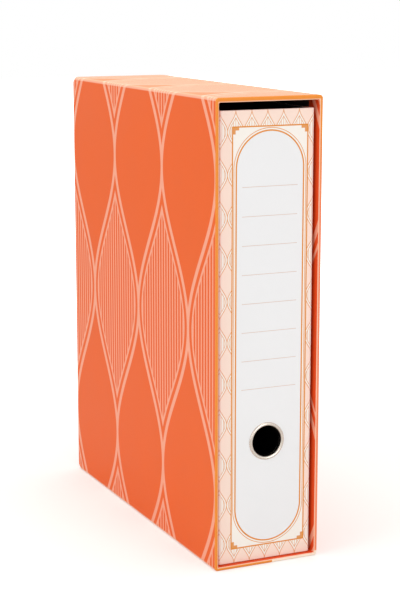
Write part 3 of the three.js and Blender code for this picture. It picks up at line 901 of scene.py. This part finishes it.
def dress_cover(obj, sizes, hole):
    """Wrap coordinates run from the spine's middle round to both fore edges."""
    mesh = obj.data
    centres = read(mesh.polygons, "center")
    normals = read(mesh.polygons, "normal")
    points, owner = loop_points(mesh)
    x, y, z = points.T
    beyond = np.clip(y - COVER_LOW.y, 0, None)
    on_side = (np.abs(normals[:, 0]) > np.abs(normals[:, 1]))[owner]
    set_wrap(mesh, np.where(on_side, np.sign(x) * (COVER_HIGH.x + beyond), x), z)
    cx, cy, cz = centres.T
    inside = (np.abs(cx) < COVER_HIGH.x - sizes.board + NEAR) & (cy > COVER_LOW.y + sizes.board - NEAR)
    from_hole = np.hypot(cx - RING_CENTRE.x, cz - RING_CENTRE.z)
    inside |= (from_hole < hole + NEAR) & (cy > COVER_LOW.y + NEAR)
    set_values(mesh, "inside", "FACE", inside)
    vx, vy, vz = read(mesh.vertices, "co").T
    near = sizes.corner * COVER_SHARE
    corner = (COVER_HIGH.x - np.abs(vx) < near) & (vy - COVER_LOW.y < near)
    ends = np.minimum(vz - COVER_LOW.z, COVER_HIGH.z - vz) < sizes.end * COVER_SHARE
    set_values(mesh, "edge", "POINT", corner | ends)


def circles(profile, sides):
    """Each profile point of radius and height as a circle about +Z: (r cos a, r sin a, h)."""
    radius, height = np.asarray(profile).T
    angle = np.arange(sides) * 2 * math.pi / sides
    return np.stack([
        np.outer(radius, np.cos(angle)),
        np.outer(radius, np.sin(angle)),
        np.tile(height[:, None], (1, sides)),
    ], -1).reshape(-1, 3)


def revolve(name, profile, material, sides):
    """A closed profile turned about +Z."""
    faces = grid_faces(len(profile), sides, close_rows=True)
    return mesh_object(name, circles(profile, sides), faces, material)


def turned(name, profile, material, sides):
    """A profile that starts and ends on the axis turned about +Z, each end one point."""
    points = circles(profile[1:-1], sides)
    ends = [(0, 0, profile[0][1]), (0, 0, profile[-1][1])]
    faces = grid_faces(len(profile) - 2, sides).tolist()
    below = len(points)
    above = below + 1
    last = below - sides
    for i in range(sides):
        j = (i + 1) % sides
        faces += [[j, i, below], [last + i, last + j, above]]
    return mesh_object(name, np.concatenate([points, ends]), faces, material)


def place_points(obj, matrix, offset):
    """Moves the mesh itself: each point becomes matrix point + offset."""
    mesh = obj.data
    moved = read(mesh.vertices, "co") @ np.asarray(matrix, float).T + np.asarray(offset)
    mesh.vertices.foreach_set("co", moved.ravel())
    mesh.update()


# The mechanism's own axes: x away from the spine, y up it and z off the board
MECHANISM_AXES = ((0, 0, 1), (1, 0, 0), (0, 1, 0))
MECHANISM_PLACE = (
    PLATE_LOW.x,
    JOINTS["arch_tilt"]["pos_m"][1],
    (PLATE_LOW.z + PLATE_HIGH.z) / 2,
)
AXIS_HEIGHT = JOINTS["arch_tilt"]["pos_m"][0] - PLATE_LOW.x
# The pull ring's own axes: x across the spine, y down it and z out of its face
RING_AXES = ((1, 0, 0), (0, 0, -1), (0, 1, 0))
# Nodes that the other operators dress
MADE_ELSEWHERE = {
    "slipcase", "file_cover", "finger_ring", "ring_washer", "arch_wire", "post_upper", "post_lower",
}


def wire_path(sizes):
    """The arch wire's middle line as straight runs and quarter or half circles, evenly dense."""
    half = sizes.spacing / 2
    tip = sizes.tip
    top = tip + sizes.tip_length
    span = sizes.span
    arch = span / 2
    small = sizes.bend
    axis = AXIS_HEIGHT
    reach = sizes.crank_reach
    crank = sizes.crank_start
    quarter = math.pi / 2

    def line(start, stop):
        start = np.array(start)
        along = np.array(stop) - start
        count = max(int(np.linalg.norm(along) / WIRE_RUN), 1)
        return start + np.linspace(0, 1, count + 1)[:-1, None] * along

    def bend(centre, size, start, towards, sweep):
        count = max(int(sweep * size / WIRE_STEP), BEND_STEPS)
        angle = np.linspace(0, sweep, count + 1)[:-1, None]
        return np.array(centre) + size * (np.cos(angle) * start + np.sin(angle) * towards)

    x_, y_, z_ = np.eye(3)
    return np.concatenate([
        line((span, half, tip), (span, half, top)),
        bend((arch, half, top), arch, x_, z_, math.pi),
        line((0, half, top), (0, half, axis + small)),
        bend((small, half, axis + small), small, -x_, -z_, quarter),
        line((small, half, axis), (reach - small, half, axis)),
        bend((reach - small, half - small, axis), small, y_, x_, quarter),
        line((reach, half - small, axis), (reach, crank + small, axis)),
        bend((reach - small, crank + small, axis), small, x_, -y_, quarter),
        line((reach - small, crank, axis), (small, crank, axis)),
        bend((small, crank - small, axis), small, y_, -x_, quarter),
        line((0, crank - small, axis), (0, small - half, axis)),
        bend((0, small - half, axis + small), small, -z_, -y_, quarter),
        line((0, -half, axis + small), (0, -half, top)),
        bend((arch, -half, top), arch, -x_, z_, math.pi),
        line((span, -half, top), (span, -half, tip)),
        [[span, -half, tip]],
    ])


def swept(path, radius, sides):
    """A circle carried along a path: each ring lies across the tangent, its start direction
    carried over from the ring before by taking out the part along the new tangent."""
    tangent = np.gradient(path, axis=0)
    tangent /= np.linalg.norm(tangent, axis=1)[:, None]
    side = np.array([0.0, 1.0, 0.0])
    sides_along = []
    for direction in tangent:
        side = side - direction * (side @ direction)
        side = side / np.linalg.norm(side)
        sides_along.append(side)
    first = np.array(sides_along)
    second = np.cross(tangent, first)
    angle = np.arange(sides) * 2 * math.pi / sides
    along_first = np.cos(angle)[None, :, None] * first[:, None]
    along_second = np.sin(angle)[None, :, None] * second[:, None]
    return lofted(list(path[:, None] + radius * (along_first + along_second)))


def dressed_copy(scene, node, body, slot):
    """A merged, smooth-shaded copy of a CAD node that takes its place."""
    mesh = frame["nodes"][node].data.copy()
    mesh.name = f"{node}_finish"
    copy = bpy.data.objects.new(f"{node}_finish", mesh)
    scene.collection.objects.link(copy)
    merge_points(mesh)
    mesh.materials.clear()
    mesh.materials.append(finish_named(scene, METAL_FINISHES[slot]))
    smooth(copy, COPY_CREASE)
    weighted(copy)
    settle(copy, node, body)


def merge_points(mesh):
    """Joins points that lie on the same spot."""
    work = bmesh.new()
    work.from_mesh(mesh)
    bmesh.ops.remove_doubles(work, verts=work.verts, dist=JOIN)
    work.to_mesh(mesh)
    work.free()


def settle(obj, node, body):
    """Hides the CAD node that the piece stands for and hangs the piece under its body."""
    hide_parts(node)
    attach(obj, body)


class FILE_OT_case(bpy.types.Operator):
    """Build the printed slipcase"""

    bl_idname = "slipfile.case"
    bl_label = "Slipcase"

    def execute(self, context):
        scene = context.scene
        sizes = scene.case_sizes
        case = mesh_object("slipcase_wrap", *case_shell(sizes), finish_named(scene, "Slipcase paper"))
        dress_case(case, sizes)
        smooth(case, WRAP_CREASE)
        weighted(case)
        settle(case, "slipcase", "slipcase")
        return {"FINISHED"}


class FILE_OT_cover(bpy.types.Operator):
    """Build the file's creased cover with its printed spine"""

    bl_idname = "slipfile.cover"
    bl_label = "File cover"

    def execute(self, context):
        scene = context.scene
        sizes = scene.cover_sizes
        ring = scene.ring_sizes
        hole = ring.bore + ring.wall + ring.gap
        cover = mesh_object("cover_wrap", *cover_shell(sizes), finish_named(scene, "Cover paper"))
        cut_hole(cover, RING_CENTRE, hole, CUTTER_BOARDS * sizes.board)
        dress_cover(cover, sizes, hole)
        smooth(cover, WRAP_CREASE)
        weighted(cover)
        settle(cover, "file_cover", "file")
        return {"FINISHED"}


def ring_profile(sizes, board):
    """The finger ring's section: a half-oval bead, the tube and a lip curled over the washer."""
    bore = sizes.bore
    wall = sizes.wall
    tube = bore + wall
    rim = (RING_HIGH.x - RING_LOW.x) / 2
    behind = -board - sizes.washer
    bead = arc((0, 0), 1.0, 0, math.pi, BEAD_STEPS) * ((rim - bore) / 2, sizes.bead) + ((bore + rim) / 2, 0)
    inner = arc((bore + wall / 3, behind - wall * 2 / 3), wall / 3, math.pi, 1.5 * math.pi, CURL_STEPS)
    curl = arc((0, 0), 1.0, 0, -math.pi / 2, EDGE_STEPS) * (sizes.lip, wall) + (tube, behind)
    return np.concatenate([bead, inner, curl[::-1], [[tube, behind], [tube, 0]]])


class FILE_OT_ring(bpy.types.Operator):
    """Build the finger ring and its washer"""

    bl_idname = "slipfile.ring"
    bl_label = "Finger ring"

    def execute(self, context):
        scene = context.scene
        profile = ring_profile(scene.ring_sizes, scene.cover_sizes.board)
        ring = revolve("pull_ring", profile, finish_named(scene, "Nickel plate"), RING_SIDES)
        place_points(ring, RING_AXES, RING_CENTRE)
        smooth(ring, WRAP_CREASE)
        settle(ring, "finger_ring", "file")
        dressed_copy(scene, "ring_washer", "file", "steel")
        return {"FINISHED"}


class FILE_OT_arches(bpy.types.Operator):
    """Build the bent arch wire"""

    bl_idname = "slipfile.arches"
    bl_label = "Arch wire"

    def execute(self, context):
        scene = context.scene
        sizes = scene.wire_sizes
        rod = swept(wire_path(sizes), sizes.radius, WIRE_SIDES)
        wire = mesh_object("arch_rod", *rod, finish_named(scene, "Nickel plate"))
        place_points(wire, MECHANISM_AXES, MECHANISM_PLACE)
        smooth(wire, WIRE_CREASE)
        settle(wire, "arch_wire", "arches")
        return {"FINISHED"}


def post_profile(sizes):
    """A post's section from the middle of its foot to the floor of the cup in its end."""
    foot = sizes.plate
    collar = sizes.radius + sizes.flange
    rim = sizes.rim
    floor = sizes.top - sizes.cup_depth
    return np.concatenate([
        [[0, foot], [collar, foot], [collar, foot + sizes.flange_thick / 2],
         [sizes.radius, foot + sizes.flange_thick]],
        arc((sizes.radius - rim, sizes.top - rim), rim, 0, math.pi / 2, EDGE_STEPS),
        [[sizes.cup, sizes.top], [sizes.cup, floor], [0, floor]],
    ])


class FILE_OT_posts(bpy.types.Operator):
    """Build the two tube posts"""

    bl_idname = "slipfile.posts"
    bl_label = "Posts"

    def execute(self, context):
        scene = context.scene
        wire = scene.wire_sizes
        profile = post_profile(scene.post_sizes)
        for node, side in (("post_upper", 1), ("post_lower", -1)):
            post = turned(f"{node}_tube", profile, finish_named(scene, "Nickel plate"), POST_SIDES)
            shift = np.array(MECHANISM_PLACE) + np.array((0, wire.span, side * wire.spacing / 2))
            place_points(post, MECHANISM_AXES, shift)
            smooth(post, WRAP_CREASE)
            settle(post, node, "file")
        return {"FINISHED"}


class FILE_OT_mechanism(bpy.types.Operator):
    """Finish the plate, lever, pins, roller, rivets and compressor bar"""

    bl_idname = "slipfile.mechanism"
    bl_label = "Mechanism"

    def execute(self, context):
        record = frame["record"]
        slots = {entry["node"]: entry["material_slot"] for entry in record["subparts"]}
        for body, nodes in record["behaviour"]["bodies"].items():
            for node in nodes:
                if node not in MADE_ELSEWHERE:
                    dressed_copy(context.scene, node, body, slots[node])
        return {"FINISHED"}


def area_lamp(name, power, tint=(1, 1, 1)):
    """A soft rectangular lamp turned to the middle of the object."""
    place, size = LAMPS[name]
    lamp = bpy.data.lights.new(name, "AREA")
    lamp.color = tint
    lamp.shape = "RECTANGLE"
    lamp.size, lamp.size_y = size
    lamp.energy = power
    obj = bpy.data.objects.new(name, lamp)
    obj.location = place
    towards = (CASE_LOW + CASE_HIGH) / 2 - Vector(place)
    obj.rotation_euler = towards.to_track_quat("-Z", "Y").to_euler()
    bpy.context.scene.collection.objects.link(obj)


def floor_paint(light):
    """Pale matt paint that fades to white far from the object, for the camera only."""
    material = bpy.data.materials.new("Floor paint")
    material.use_nodes = True
    tree = material.node_tree
    place = Term(tree, add_node(tree, "TexCoord").outputs["Object"])
    distance = add_node(tree, "VectorMath", {0: place}, operation="LENGTH")
    far = Term(tree, distance.outputs["Value"])
    fade = ((far - light.fade_start) / light.fade_length).math("ADD", 0.0, clamp=True)
    seen = Term(tree, add_node(tree, "LightPath").outputs["Is Camera Ray"])
    values = {
        "Base Color": FLOOR_COLOUR, "Roughness": FLOOR_ROUGHNESS, "Specular IOR Level": FLOOR_SHEEN,
        "Emission Color": WHITE, "Emission Strength": (fade + light.glow) * seen,
    }
    for label, value in values.items():
        connect(tree, value, tree.nodes["Principled BSDF"].inputs[label])
    return material


def surroundings(scene, strength):
    """White surroundings: soft light on the object, and full white where they are seen."""
    world = bpy.data.worlds.new("Surroundings")
    world.use_nodes = True
    scene.world = world
    tree = world.node_tree
    rays = add_node(tree, "LightPath")
    seen = Term(tree, rays.outputs["Is Camera Ray"]).either(Term(tree, rays.outputs["Is Glossy Ray"]))
    background = tree.nodes["Background"]
    connect(tree, WHITE, background.inputs["Color"])
    connect(tree, seen * (1.0 - strength) + strength, background.inputs["Strength"])


def photo_camera(scene):
    """A camera in the place that was fitted to the slipcase's corners."""
    data = bpy.data.cameras.new("camera")
    data.sensor_width = SENSOR
    data.lens = SENSOR * CAMERA_FOCAL_PIXELS / IMAGE_LONG_SIDE
    data.clip_end = CAMERA_REACH
    camera = bpy.data.objects.new("camera", data)
    azimuth = math.radians(CAMERA_AZIMUTH)
    elevation = math.radians(CAMERA_ELEVATION)
    back = Vector((
        math.sin(azimuth) * math.cos(elevation),
        -math.cos(azimuth) * math.cos(elevation),
        math.sin(elevation),
    ))
    camera.location = CAMERA_PLACE
    camera.rotation_euler = back.to_track_quat("Z", "Y").to_euler()
    scene.collection.objects.link(camera)
    scene.camera = camera


class FILE_OT_stage(bpy.types.Operator):
    """Build the floor, the soft light, the white surroundings and the camera"""

    bl_idname = "slipfile.stage"
    bl_label = "Stage"

    def execute(self, context):
        scene = context.scene
        light = scene.studio_light
        corners = [(-1, -1), (1, -1), (1, 1), (-1, 1)]
        mesh = bpy.data.meshes.new("floor")
        mesh.from_pydata([(x * FLOOR_REACH, y * FLOOR_REACH, 0) for x, y in corners], [], [(0, 1, 2, 3)])
        mesh.materials.append(floor_paint(light))
        floor = bpy.data.objects.new("floor", mesh)
        scene.collection.objects.link(floor)
        area_lamp("key", light.key)
        area_lamp("side", light.side)
        area_lamp("top", light.top, light.top_tint[:3])
        surroundings(scene, light.world)
        photo_camera(scene)
        scene.view_settings.view_transform = "Standard"
        return {"FINISHED"}


OPERATORS = (
    FILE_OT_stage, FILE_OT_case, FILE_OT_cover, FILE_OT_ring,
    FILE_OT_arches, FILE_OT_posts, FILE_OT_mechanism,
)


class FILE_PT_panel(bpy.types.Panel):
    """Lists the pieces of the file with their sizes and colours"""

    bl_label = "Slipcase file"
    bl_space_type = "VIEW_3D"
    bl_region_type = "UI"
    bl_category = "Slipcase file"

    def draw(self, context):
        for operator in OPERATORS:
            self.layout.operator(operator.bl_idname)
        for place in SETTINGS:
            settings = getattr(context.scene, place)
            box = self.layout.box()
            box.label(text=place.replace("_", " ").capitalize())
            for name in setting_names(settings):
                box.prop(settings, name)


SETTINGS = {
    "case_sizes": CaseSizes, "case_print": CasePrint, "cover_sizes": CoverSizes, "cover_print": CoverPrint,
    "label_sizes": LabelSizes, "ring_sizes": RingSizes, "wire_sizes": WireSizes, "post_sizes": PostSizes,
    "wrap_colours": WrapColours, "metal_colours": MetalColours, "studio_light": StudioLight,
}
CLASSES = (*SETTINGS.values(), *OPERATORS, FILE_PT_panel)


def register():
    for cls in CLASSES:
        bpy.utils.register_class(cls)
    for place, cls in SETTINGS.items():
        setattr(bpy.types.Scene, place, PointerProperty(type=cls))


def unregister():
    for place in SETTINGS:
        delattr(bpy.types.Scene, place)
    for cls in reversed(CLASSES):
        bpy.utils.unregister_class(cls)


def main():
    register()
    for operator in OPERATORS:
        group, name = operator.bl_idname.split(".")
        getattr(getattr(bpy.ops, group), name)()


if __name__ == "__main__":
    main()
